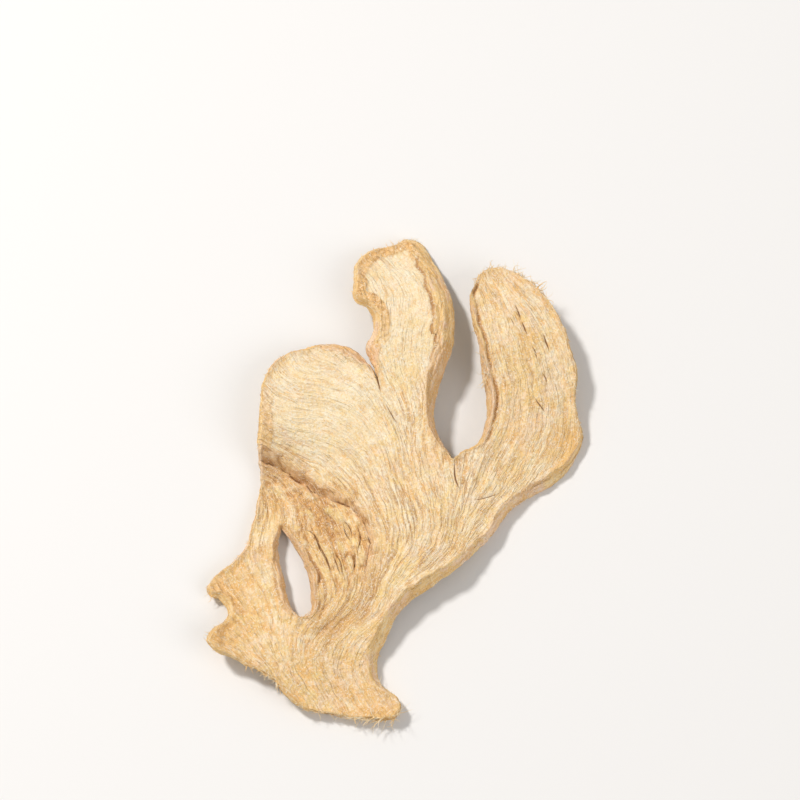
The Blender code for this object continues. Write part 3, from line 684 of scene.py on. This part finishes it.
def traits_of(points, edge, upper):
    """Height of one surface, and the values that its finish reads, at each point."""
    number, gap = nearest(edge, points)
    here, wall, run = edge[number, :2], edge[number, 2], edge[number, 3]
    shape = form(points, wall, gap)
    climb, width = (shape.rise, wall) if upper else (shape.fall, shape.under)
    seed = SEED + (LAYER.upper if upper else LAYER.lower)
    face = smooth((gap - width) / FACE_BORDER + 0.5)
    mealy = near_spots(points, MEALY_SPOTS)
    pits = blotches(points, PIT_LENGTH, seed)
    pits += blotches(PITS_FINER * points, PIT_LENGTH, seed + LAYER.pits)
    fine = sum(
        height * strands(shape.fibres, wide, long, seed + LAYER.relief * count)
        for count, (height, wide, long) in enumerate(FIBRE_RELIEF, 1)
    )
    fine *= (1 - CALM_LOSS * shape.calm) * (1 - MEALY_LOSS * mealy)
    fine += PIT_HEIGHT * pits * (1 + MEALY_PITS * mealy)
    seam = strands(shape.fibres, *CORD_SIZE, seed + LAYER.cord)
    cord = crests(seam)
    up = climb * np.hypot(width, WALL_HEIGHT) * (1 if upper else -1)
    skin, valley = np.zeros(len(points)), np.zeros(len(points))
    for count, (height, wide, long) in enumerate(SKIN_FOLDS):
        wave = rumple(up / wide, run / long, SEED + LAYER.skin + count)
        skin += height * crests(wave)
        valley = np.maximum(valley, bell(wave, FOLD_SHADE_WIDTH))
    scorch = near_spots(here, SCORCHED_SPOTS)
    border = COLLAR_WIDTH + COLLAR_STRAY * blotches(points, COLLAR_LENGTH, seed + LAYER.collar)
    collar = scorch * face * smooth((width + border - gap) / COLLAR_BORDER + 0.5)
    crumb = blotches(points, CRUMB_LENGTH, seed + LAYER.crumb)
    height = (shape.above if upper else shape.below) + fine * face
    height += skin * smooth(SKIN_START * climb) * smooth(SKIN_END * (1 - climb))
    height += CORD_HEIGHT * cord * shape.ridged * face
    height += collar * (COLLAR_HEIGHT + CRUMB_HEIGHT * crumb)
    crumbly = near_spots(points, CRUMBLY_SPOTS) * face
    clod = strands(shape.fibres, *CLOD_SIZE, seed + LAYER.clod)
    crumb = crumb + CLOD_HEIGHT * crests(clod) / CRUMB_HEIGHT
    height += CRUMB_HEIGHT * crumbly * crumb
    step = shape.step
    tall = np.clip(step.height, 0, 1)
    beside = (step.beyond - BAND_MIDDLE * step.width) / (BAND_SPREAD * step.width + BAND_MARGIN)
    beside = np.exp(-beside ** 4) * tall * face
    wide, long = STEP_FOLD_SIZE
    ply = rumple(step.beyond / wide, step.run / long, seed + LAYER.ply)
    height += STEP_FOLD * beside * crests(ply)
    groove_and_shade, crease_and_shade = np.zeros(len(points)), np.zeros(len(points))
    rolled = near_spots(here, ROLLED_SPOTS)
    if upper:
        # The slits are cut into the surface, and their depth also sets the painted shade in them.
        groove_and_shade = groove_depth(points)
        broken = np.clip(ROLL_SHARE + waves(run, ROLL_LENGTH, seed + LAYER.roll), 0, 1)
        # The crease inside a rolled rim is cut into the surface, and the same mask paints shade along
        # it.
        crease_and_shade = rolled * broken * bell(gap - width - ROLL_OFFSET, ROLL_WIDTH)
        height += ROLL_HEIGHT * rolled * np.sin(np.pi * climb) - ROLL_GROOVE * crease_and_shade - groove_and_shade
        # Painted shadow: a broken dark line along the foot of the wall, where the flap overhangs the
        # band.
        foot_shade = FOOT_SHADE_SHARE + FOOT_SHADE_STRAY * waves(step.run, FOOT_SHADE_LENGTH, seed + LAYER.foot_shade)
        foot_shade = np.clip(foot_shade, 0, 1) * bell(step.beyond - step.width, FOOT_SHADE_WIDTH) * tall
        groove_and_shade = np.maximum(groove_and_shade, FOOT_SHADE_STRENGTH * foot_shade)
        height = np.maximum(height, LEAST_HEIGHT)
    height = np.maximum(height, 0)
    across, along, slopes = shape.fibres
    tight = np.maximum(np.linalg.norm(slopes, axis=1), LEAST_SLOPE)
    wander = blotches(points, WIGGLE_LENGTH, seed + LAYER.wiggle)
    values = {
        "across": across + WIGGLE * tight * wander, "along": along, "level": -np.log2(tight),
        "run": run, "up": up, "face": face, "step": beside, "crease_and_shade": crease_and_shade, "groove_and_shade": groove_and_shade,
        # The cord value is painted shade in the grooves between the cords.
        "rim": bell(gap - width, RIM_WIDTH), "cord": shape.ridged * bell(seam, CORD_SHADE_WIDTH),
        # Painted shade: low is how far the relief dips, for darkening its valleys toward orange.
        "low": np.clip(-(fine / VALLEY_SHADE_DEPTH + cord * shape.ridged), *VALLEY_SHADE_RANGE),
        # Painted shade along the valleys of the skin folds and of the folds beside the flap.
        "fold_shade": np.maximum(valley * (1 - face), beside * bell(ply, FOLD_SHADE_WIDTH)),
        "calm": shape.calm, "mealy": mealy, "gold": near_spots(points, GOLDEN_SPOTS),
        "ochre": near_spots(points, OCHRE_SPOTS), "scorch": scorch, "collar": collar,
        "pink": near_spots(here, PINKISH_SPOTS), "crumbly": crumbly, "crumb": crumb,
    }
    return height, values


def add_mesh(name, places, faces, values):
    """A smooth-shaded object in the scene, with these values at its points."""
    mesh = bpy.data.meshes.new(name)
    mesh.from_pydata(places * MM, [], faces.tolist())
    mesh.validate()
    mesh.update()
    for label, numbers in values.items():
        layer = mesh.attributes.new(label, "FLOAT", "POINT")
        layer.data.foreach_set("value", np.asarray(numbers, dtype=np.float32))
    mesh.shade_smooth()
    return link(name, mesh)


def slice_piece(rim, hole, centre):
    """The slice as one closed mesh: an upper and a lower sheet that share the edge's points."""
    edge = np.vstack([rim, hole])
    guides = [step_rows(EDGE_SPACING), *groove_rows()]
    top, top_faces = flat_pattern(rim, hole, UPPER_SPACING, guides)
    base, base_faces = flat_pattern(rim, hole, LOWER_SPACING, guides[:1])
    top_height, top_values = traits_of(top, edge, True)
    base_height, base_values = traits_of(base, edge, False)
    count = len(edge)
    places = np.vstack([
        np.column_stack([top - centre, top_height]),
        np.column_stack([base - centre, base_height])[count:],
    ])
    lower = np.where(base_faces < count, base_faces, base_faces + len(top) - count)[:, ::-1]
    values = {
        name: np.concatenate([numbers, base_values[name][count:]])
        for name, numbers in top_values.items()
    }
    return add_mesh("slice_surface", places, np.vstack([top_faces, lower]), values)


def tubes(paths, radii):
    """Three-sided tubes along these paths, as points and faces. Paths are fibre, step, xyz."""
    count, steps = paths.shape[:2]
    ahead = np.gradient(paths, axis=1)
    ahead /= np.linalg.norm(ahead, axis=2, keepdims=True) + 1e-9
    right = np.cross(ahead, [0, 0, 1])
    right /= np.linalg.norm(right, axis=2, keepdims=True) + 1e-9
    rise = np.cross(right, ahead)
    corners = [
        paths + radii[..., None] * (np.cos(turn) * right + np.sin(turn) * rise)
        for turn in np.radians((90, 210, 330))
    ]
    places = np.stack(corners, axis=2).reshape(-1, 3)
    first = 3 * (steps * np.arange(count)[:, None] + np.arange(steps - 1)).ravel()
    faces = [
        np.stack([first + one, first + other, first + other + 3, first + one + 3], axis=1)
        for one, other in ((0, 1), (1, 2), (2, 0))
    ]
    return places, np.vstack(faces)


def lying_fibres(rim, hole, centre, draw):
    """Paths of the fibres that lie half sunk in the cut face and follow its grain."""
    edge = np.vstack([rim, hole])
    low, high = rim[:, :2].min(axis=0), rim[:, :2].max(axis=0)
    starts = draw.uniform(low, high, (LYING_TRIES * LYING_COUNT, 2))
    starts = starts[inside(rim, starts) & ~inside(hole, starts)]
    number, gap = nearest(edge, starts)
    starts = starts[gap > edge[number, 2] + START_CLEARANCE][:LYING_COUNT]
    starts = starts[draw.random(len(starts)) > LYING_THINNED * near_spots(starts, CALM + MEALY_SPOTS)]
    count = len(starts)
    least, most = LYING_LENGTH
    length = least + (most - least) * draw.random(count) ** 2
    stray = np.radians(draw.normal(0, LYING_STRAY, count))
    bend = np.radians(draw.normal(0, LYING_STRAY, count)) / LYING_STEPS
    place, trail = starts, []
    for step in range(LYING_STEPS):
        trail.append(place)
        slopes = fibre_places(place)[2]
        turn = np.arctan2(slopes[:, 0], -slopes[:, 1]) + stray + bend * step
        ahead = np.stack([np.cos(turn), np.sin(turn)], axis=1)
        place = place + ahead * (length / LYING_STEPS)[:, None]
    trail = np.stack(trail, axis=1)
    flat = trail.reshape(-1, 2)
    number, gap = nearest(edge, flat)
    kept = (gap > edge[number, 2] + LYING_CLEARANCE) & inside(rim, flat) & ~inside(hole, flat)
    kept = kept.reshape(count, LYING_STEPS).all(axis=1)
    trail, length = trail[kept], length[kept]
    height = traits_of(trail.reshape(-1, 2), edge, True)[0].reshape(len(trail), LYING_STEPS)
    radius = draw.uniform(*LYING_RADIUS, len(trail))[:, None]
    least, more = LYING_TAPER
    taper = np.sqrt(np.sin(np.pi * (least + more * np.linspace(0, 1, LYING_STEPS))))
    lift = LYING_LIFT * draw.random((len(trail), 1)) * taper - END_SINK * (1 - taper)
    paths = np.concatenate([trail - centre, (height + radius * lift)[..., None]], axis=2)
    return paths, radius * taper


def standing_hairs(rim, hole, centre, draw):
    """Paths of the short hairs and shreds that stand out from the frayed stretches of the edge."""
    edge = np.vstack([rim, hole])
    inward = np.vstack([-turning(rim) * sideways(rim, True), turning(hole) * sideways(hole, True)])
    starts, lengths, widths = [], [], []
    least, more = HAIR.shares
    for x, y, reach, count, longest, *thickness in FRAY:
        near = np.where(np.hypot(edge[:, 0] - x, edge[:, 1] - y) < reach)[0]
        starts.append(draw.choice(near, count))
        lengths.append(longest * (least + more * draw.random(count) ** HAIR.skew))
        widths.append(np.full(count, np.prod(thickness)))
    starts.append(draw.integers(0, len(edge), FUZZ_COUNT))
    least, more = HAIR.fuzz_shares
    lengths.append(FUZZ_LENGTH * (least + more * draw.random(FUZZ_COUNT)))
    widths.append(np.ones(FUZZ_COUNT))
    starts, lengths, widths = (np.concatenate(part) for part in (starts, lengths, widths))
    count = len(starts)
    depth = draw.random(count) * edge[starts, 2]
    root = edge[starts, :2] + inward[starts] * depth[:, None]
    height = traits_of(root, edge, True)[0]
    out = -inward[starts]
    along = np.stack([-out[:, 1], out[:, 0]], axis=1)
    lean = draw.choice((-1, 1), count) * draw.uniform(*HAIR.lean, count)
    ahead = out * draw.uniform(*HAIR.out, count)[:, None] + along * lean[:, None]
    ahead = np.column_stack([ahead, draw.normal(*HAIR.rise, count)])
    ahead /= np.linalg.norm(ahead, axis=1)[:, None]
    place = np.column_stack([root - centre, height - HAIR_RADIUS])
    curl = draw.normal(0, HAIR.curl, (count, 3))
    trail = []
    for _ in range(HAIR_STEPS):
        trail.append(place)
        place = place + ahead * (lengths / (HAIR_STEPS - 1))[:, None]
        place[:, 2] = np.maximum(place[:, 2], HAIR.floor)
        ahead = ahead + curl + draw.normal(0, HAIR.kink, (count, 3))
        ahead /= np.linalg.norm(ahead, axis=1)[:, None]
    share = np.linspace(0, 1, HAIR_STEPS)
    radius = (HAIR_RADIUS * widths * draw.uniform(*HAIR.widths, count))[:, None]
    radius = radius * (1 - HAIR.taper * share ** HAIR.skew)
    return np.stack(trail, axis=1), radius


def fibre_piece(name, paths, radii, draw):
    """Fibres along these paths as one piece, each with its own tone."""
    places, faces = tubes(paths, radii)
    steps = 3 * paths.shape[1]
    tone = np.repeat(draw.random(len(paths)), steps)
    return add_mesh(name, places, faces, {"tone": tone})


class Wiring:
    """Short names for the shader nodes that the finishes use."""

    def __init__(self, name):
        self.material = bpy.data.materials.new(name)
        self.material.use_nodes = True
        self.tree = self.material.node_tree
        self.shader = self.tree.nodes["Principled BSDF"]

    def put(self, socket, value):
        if isinstance(value, bpy.types.NodeSocket):
            self.tree.links.new(value, socket)
        else:
            socket.default_value = value

    def node(self, kind, inputs, **settings):
        """A new node with these settings, and with these values or links as its inputs."""
        made = self.tree.nodes.new(kind)
        for name, value in settings.items():
            setattr(made, name, value)
        for place, value in inputs.items():
            self.put(made.inputs[place], value)
        return made

    def value(self, name):
        return self.node("ShaderNodeAttribute", {}, attribute_name=name).outputs["Fac"]

    def math(self, kind, one, other=0, third=0):
        inputs = {0: one, 1: other, 2: third}
        return self.node("ShaderNodeMath", inputs, operation=kind).outputs[0]

    def times(self, one, other):
        return self.math("MULTIPLY", one, other)

    def plus(self, base, value, amount):
        """The base with this amount of the value added."""
        return self.math("MULTIPLY_ADD", value, amount, base)

    def ramp(self, value, low, high):
        """0 up to low, 1 from high, and an easy slope between."""
        inputs = {"Value": value, "From Min": low, "From Max": high}
        made = self.node("ShaderNodeMapRange", inputs, interpolation_type="SMOOTHSTEP")
        return made.outputs["Result"]

    def line(self, value, width):
        """1 on the line where the noise is halfway, 0 off it."""
        off = self.math("ABSOLUTE", self.math("SUBTRACT", value, 0.5))
        return self.math("SUBTRACT", 1, self.ramp(off, 0, width))

    def place(self, across, wide, along, long, layer):
        inputs = {0: self.math("DIVIDE", across, wide), 1: self.math("DIVIDE", along, long), 2: layer}
        return self.node("ShaderNodeCombineXYZ", inputs).outputs[0]

    def noise(self, vector, scale=1, detail=2, rough=0.5, warp=0):
        inputs = {
            "Vector": vector, "Scale": scale, "Detail": detail, "Roughness": rough, "Distortion": warp,
        }
        return self.node("ShaderNodeTexNoise", inputs).outputs["Fac"]

    def strands(self, wide, long, layer, detail=1):
        """Noise drawn out along the fibres, of nearly the same width wherever they spread."""
        level = self.math("SUBTRACT", self.value("level"), math.log2(wide))
        whole = self.math("FLOOR", level)
        inputs = {0: self.math("SUBTRACT", level, whole)}
        for number in (0, 1):
            octave = self.math("ADD", whole, number)
            across = self.times(self.value("across"), self.math("POWER", 2, octave))
            depth = self.plus(layer, octave, OCTAVE_GAP)
            place = self.place(across, 1, self.value("along"), long, depth)
            inputs[2 + number] = self.noise(place, detail=detail)
        return self.node("ShaderNodeMix", inputs, data_type="FLOAT").outputs[0]

    def mix(self, share, one, other):
        return self.node("ShaderNodeMix", {0: share, 6: one, 7: other}, data_type="RGBA").outputs[2]

    def tint(self, colour, share, strength, other):
        """The colour, moved toward the other by this share of this strength."""
        return self.mix(self.times(share, strength), colour, other)

    def bump(self, height):
        made = self.node("ShaderNodeBump", {"Height": height, "Distance": MM, "Strength": 1})
        self.put(self.shader.inputs["Normal"], made.outputs["Normal"])

    def finish(self, colour, rough, gloss):
        """The material, with this colour, roughness and gloss."""
        self.put(self.shader.inputs["Base Color"], colour)
        self.put(self.shader.inputs["Roughness"], rough)
        self.put(self.shader.inputs["Specular IOR Level"], gloss)
        return self.material


def rgb(red, green, blue):
    return (red, green, blue, 1)


CREAM = rgb(0.94, 0.76, 0.49)
WHITISH = rgb(0.95, 0.88, 0.73)
GOLDEN = rgb(0.89, 0.62, 0.27)
ORANGE = rgb(0.84, 0.49, 0.18)
OCHRE = rgb(0.8, 0.46, 0.15)
BROWN = rgb(0.5, 0.25, 0.09)
SHADE_UMBER = rgb(0.24, 0.105, 0.04)
RUST = rgb(0.36, 0.155, 0.05)
ROSY = rgb(0.94, 0.7, 0.5)
GREYISH = rgb(0.84, 0.78, 0.6)
TAN = rgb(0.87, 0.58, 0.36)
PINKISH = rgb(0.95, 0.71, 0.52)
APRICOT = rgb(0.96, 0.66, 0.4)
YELLOW = rgb(0.93, 0.7, 0.3)
PALE_YELLOW = rgb(0.96, 0.86, 0.64)
STRAW = rgb(0.97, 0.7, 0.35)
WARM = rgb(0.77, 0.54, 0.25)

GLOSS = 0.25

# Patterns in the cut flesh: scale, detail, roughness and warp of their noise.
OCTAVE_GAP = 3.7
FLESH_NOISE = {
    "patch": (230, 3, 0.6, 0.5),
    "starch": (520, 4, 0.7, 0.8),
    "cloud": (110, 4, 0.6, 0.8),
    "hue": (170, 5, 0.7, 1.2),
    "blots": (260, 4, 0.65, 1),
    "flecks": (1300, 3, 0.7, 0),
    "specks": (1900, 1, 0.6, 0),
}

# How its colour changes, in turn: where, by which pattern, from and to which value of it, how
# strongly, and toward which colour. "all" is 1 everywhere.
FLESH_STEPS = (
    ("all", "streaks", 0.42, 0.74, 0.9, GOLDEN),
    ("gold", "all", 0, 1, 0.6, WARM),
    ("all", "pale", 0.4, 0.62, 0.6, WHITISH),
    ("all", "starch", 0.53, 0.66, 0.75, WHITISH),
    ("all", "cloud", 0.51, 0.62, 0.6, PALE_YELLOW),
    ("all", "cloud", 0.48, 0.37, 0.55, GOLDEN),
    ("all", "starch", 0.47, 0.36, 0.65, GOLDEN),
    ("all", "hue", 0.52, 0.62, 0.6, YELLOW),
    ("all", "hue", 0.47, 0.38, 0.6, ROSY),
    ("all", "spots", 0.53, 0.66, 0.8, ORANGE),
    # Painted shade: the valleys of the relief, darkened toward orange.
    ("lively", "low", 0.1, 1.3, 0.65, ORANGE),
    # Painted shade in the grooves between the cords.
    ("cord_shade", "all", 0, 1, 0.85, RUST),
    # Partly fibre colour, partly painted shade between the fibres.
    ("lines", "all", 0, 1, 0.7, RUST),
    ("short", "all", 0, 1, 0.55, BROWN),
    ("all", "flecks", 0.55, 0.67, 0.6, ROSY),
    ("all", "flecks", 0.46, 0.35, 0.25, GREYISH),
    ("starchless", "flecks", 0.42, 0.32, 0.7, ORANGE),
    ("mealy", "blots", 0.54, 0.66, 0.55, ORANGE),
    ("mealy", "blots", 0.47, 0.38, 0.5, ROSY),
    ("speckled", "specks", 0.42, 0.34, 0.8, BROWN),
    ("speckled", "specks", 0.55, 0.64, 0.8, WHITISH),
    ("calm", "all", 0, 1, 0.25, GREYISH),
    ("crumbly", "crumb", 0.1, 0.9, 0.6, YELLOW),
    ("crumbly", "crumb", 0, -0.7, 0.7, ORANGE),
    ("crumbly", "crumb", -0.5, -1.3, 0.85, BROWN),
    ("crumbly", "flecks", 0.48, 0.36, 0.6, BROWN),
    ("rims", "starch", 0.25, 0.5, 0.85, ORANGE),
    ("rims", "flecks", 0.52, 0.42, 0.75, BROWN),
    ("ochre", "blots", 0.3, 0.5, 0.6, OCHRE),
    # Painted shade along the crease inside rolled rims.
    ("all", "crease_and_shade", 0.1, 0.7, 0.9, BROWN),
)


def flesh_colour(w, body, fibre):
    """Cut flesh: pale starch and golden patches, crossed by thin brown lines along the grain, which
    are partly fibre colour and partly painted shade between the fibres.
    """
    read = ("gold", "calm", "mealy", "low", "crumbly", "crumb", "ochre", "crease_and_shade")
    fields = {name: w.value(name) for name in read}
    fields.update({name: w.noise(body, *rule) for name, rule in FLESH_NOISE.items()})
    gold, calm, mealy, patch = (fields[name] for name in ("gold", "calm", "mealy", "patch"))
    broad = w.strands(2.6, 12, 1, detail=2)
    lively = w.math("MAXIMUM", w.plus(w.plus(1, mealy, -0.55), calm, -0.8), 0.12)
    # These lines follow the bump's valleys: partly fibre colour, partly painted shade between the
    # fibres.
    lines = w.times(w.line(fibre["long"], 0.05), w.ramp(broad, 0.42, 0.6))
    short = w.times(w.line(fibre["short"], 0.06), w.ramp(patch, 0.35, 0.55))
    rims = w.times(w.value("rim"), w.plus(0.3, w.value("scorch"), 0.6))
    fields.update({
        "all": 1,
        "streaks": w.plus(w.plus(broad, gold, 0.3), calm, -0.08),
        "pale": w.plus(w.plus(patch, gold, -0.12), calm, -0.05),
        "spots": w.plus(w.strands(0.9, 3.4, 31, detail=2), gold, 0.05),
        "lively": lively,
        "cord_shade": w.times(lively, w.value("cord")),
        "lines": w.times(lively, lines),
        "short": w.times(lively, short),
        "starchless": w.ramp(fields["starch"], 0.55, 0.4),
        "speckled": w.plus(0.25, mealy, 0.05),
        "rims": w.math("MAXIMUM", rims, w.value("collar")),
    })
    colour = CREAM
    for where, pattern, low, high, strength, other in FLESH_STEPS:
        share = w.times(fields[where], w.ramp(fields[pattern], low, high))
        colour = w.tint(colour, share, strength, other)
    return colour


def skin_colour(w, wrinkle):
    """Skin at the edge: pinkish and smooth in places, straw and fibrous in others."""
    up, run = w.value("up"), w.value("run")
    plain = w.mix(w.ramp(wrinkle, 0.38, 0.62), TAN, PINKISH)
    straw = w.mix(w.ramp(wrinkle, 0.34, 0.5), GOLDEN, STRAW)
    zones = w.noise(w.place(up, 2, run, 6, 7))
    zones = w.plus(w.plus(zones, w.value("pink"), -0.25), w.value("scorch"), 0.12)
    colour = w.mix(w.ramp(zones, 0.38, 0.5), plain, straw)
    thread = w.noise(w.place(up, 0.5, run, 4.5, 9), detail=2)
    colour = w.tint(colour, w.ramp(thread, 0.54, 0.68), 0.6, CREAM)
    colour = w.tint(colour, w.line(thread, 0.04), 0.4, BROWN)
    # Painted shade along the crease between the face and a rolled rim.
    colour = w.tint(colour, w.ramp(w.value("crease_and_shade"), 0.1, 0.7), 0.9, BROWN)
    # Painted shade in the valleys of the skin folds.
    return w.tint(colour, w.value("fold_shade"), 0.7, OCHRE)


def ginger_finish():
    """Cut flesh with streaks along its fibres, scorched rims, and wrinkled skin at the edge."""
    w = Wiring("dried_ginger")
    body = w.node("ShaderNodeTexCoord", {}).outputs["Object"]
    fibre = {
        "long": w.strands(1.1, 12, 11, detail=2),
        "short": w.strands(0.6, 4.5, 21, detail=1),
    }
    wrinkle = w.noise(w.place(w.value("up"), 0.7, w.value("run"), 5, 6), detail=4, rough=0.65)
    grain = w.noise(body, scale=2600, detail=2, rough=0.6)
    face = w.value("face")
    colour = w.mix(face, skin_colour(w, wrinkle), flesh_colour(w, body, fibre))
    colour = w.tint(colour, w.value("step"), 0.5, APRICOT)
    # Painted shade in the valleys of the folds beside the flap.
    colour = w.tint(colour, w.times(w.value("step"), w.value("fold_shade")), 0.9, BROWN)
    colour = w.tint(colour, w.ramp(grain, 0.46, 0.32), 0.75, GOLDEN)
    colour = w.tint(colour, w.ramp(grain, 0.54, 0.68), 0.6, WHITISH)
    # Painted shade: slits and cracks, and the line under the flap's wall, darkened toward umber.
    colour = w.tint(colour, w.ramp(w.value("groove_and_shade"), 0.06, 0.35), 0.92, SHADE_UMBER)
    height = w.times(grain, 0.26)
    height = w.plus(height, w.line(fibre["long"], 0.07), -0.1)
    height = w.plus(height, w.line(fibre["short"], 0.08), -0.06)
    height = w.plus(height, w.strands(0.3, 1.6, 41), 0.16)
    height = w.plus(height, w.times(w.math("SUBTRACT", 1, face), wrinkle), 0.35)
    w.bump(height)
    return w.finish(colour, w.plus(0.66, grain, 0.2), GLOSS)


def fibre_finish():
    """Loose and lying fibres, from pale straw to ochre."""
    w = Wiring("ginger_fibre")
    tone = w.value("tone")
    colour = w.mix(w.ramp(tone, 0.1, 0.6), WHITISH, CREAM)
    colour = w.mix(w.ramp(tone, 0.6, 0.85), colour, STRAW)
    colour = w.tint(colour, w.ramp(tone, 0.85, 0.98), 0.6, ORANGE)
    body = w.node("ShaderNodeTexCoord", {}).outputs["Object"]
    mottle = w.noise(body, scale=900, detail=2)
    colour = w.tint(colour, w.ramp(mottle, 0.5, 0.7), 0.4, GOLDEN)
    return w.finish(colour, w.plus(0.6, mottle, 0.2), GLOSS)


def aim(thing, target):
    thing.rotation_euler = (Vector(target) - thing.location).to_track_quat("-Z", "Y").to_euler()


# The camera stands as in the photo, and the slice fills the same part of the picture.
ELEVATION = math.radians(70)
DISTANCE = 0.6
VIEW_WIDTH = 0.16
AIM = (1.8, 15.6, 4)
NEAREST_SEEN = 0.01

# A small lamp at the back left, a broad one at the front right: place, size, power, colour.
LAMPS = {
    "key": ((-0.62, 0.42, 0.99), 0.17, 11.5, (1, 0.965, 0.915)),
    "fill": ((0.8, -0.5, 0.8), 0.9, 4.2, (1, 0.97, 0.93)),
}
ROOM_COLOUR = rgb(1, 0.98, 0.95)
ROOM_STRENGTH = 0.4
FLOOR_LOOK = (rgb(0.82, 0.82, 0.83), 0.6, 0.5)
FLOOR_SIZE = 6


def camera(centre):
    """The camera in front of the slice and above it."""
    lens = bpy.data.cameras.new("camera")
    eye = link("camera", lens)
    target = Vector((AIM[0] - centre[0], AIM[1] - centre[1], AIM[2])) * MM
    eye.location = target + Vector((0, -math.cos(ELEVATION), math.sin(ELEVATION))) * DISTANCE
    aim(eye, target)
    lens.angle = 2 * math.atan(0.5 * VIEW_WIDTH / DISTANCE)
    lens.clip_start = NEAREST_SEEN
    bpy.context.scene.camera = eye


def softbox(name, place, size, power, colour):
    """A round soft lamp that faces the slice."""
    lamp = bpy.data.lights.new(name, "AREA")
    lamp.shape = "DISK"
    lamp.size = size
    lamp.energy = power
    lamp.color = colour
    box = link(name, lamp)
    box.location = place
    aim(box, (0, 0, 0))


def studio(centre):
    """Floor, lamps, room and camera."""
    bpy.ops.mesh.primitive_plane_add(size=FLOOR_SIZE, location=(0, 0, 0))
    floor = bpy.context.object
    floor.name = "floor"
    floor.data.materials.append(Wiring("pale_floor").finish(*FLOOR_LOOK))
    for name, settings in LAMPS.items():
        softbox(name, *settings)
    world = bpy.data.worlds.new("studio")
    world.use_nodes = True
    light = world.node_tree.nodes["Background"].inputs
    light["Color"].default_value = ROOM_COLOUR
    light["Strength"].default_value = ROOM_STRENGTH
    bpy.context.scene.world = world
    bpy.context.scene.view_settings.view_transform = "Standard"
    camera(centre)


def dress():
    """The slice with its fibres and hairs. Gives back its middle."""
    rim, hole = edge_loops()
    plain = smooth_curve(EDGE, True, EDGE_SPACING, CREASES)
    centre = 0.5 * (plain[:, :2].min(axis=0) + plain[:, :2].max(axis=0))
    draw = np.random.default_rng(DRAW_SEED)
    surface = slice_piece(rim, hole, centre)
    surface.data.materials.append(ginger_finish())
    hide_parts("ginger_slice")
    lying = fibre_piece("face_fibres", *lying_fibres(rim, hole, centre, draw), draw)
    hairs = fibre_piece("edge_hairs", *standing_hairs(rim, hole, centre, draw), draw)
    finish = fibre_finish()
    for piece in (lying, hairs):
        piece.data.materials.append(finish)
    for piece in (surface, lying, hairs):
        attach(piece, "root")
    return centre


studio(dress())
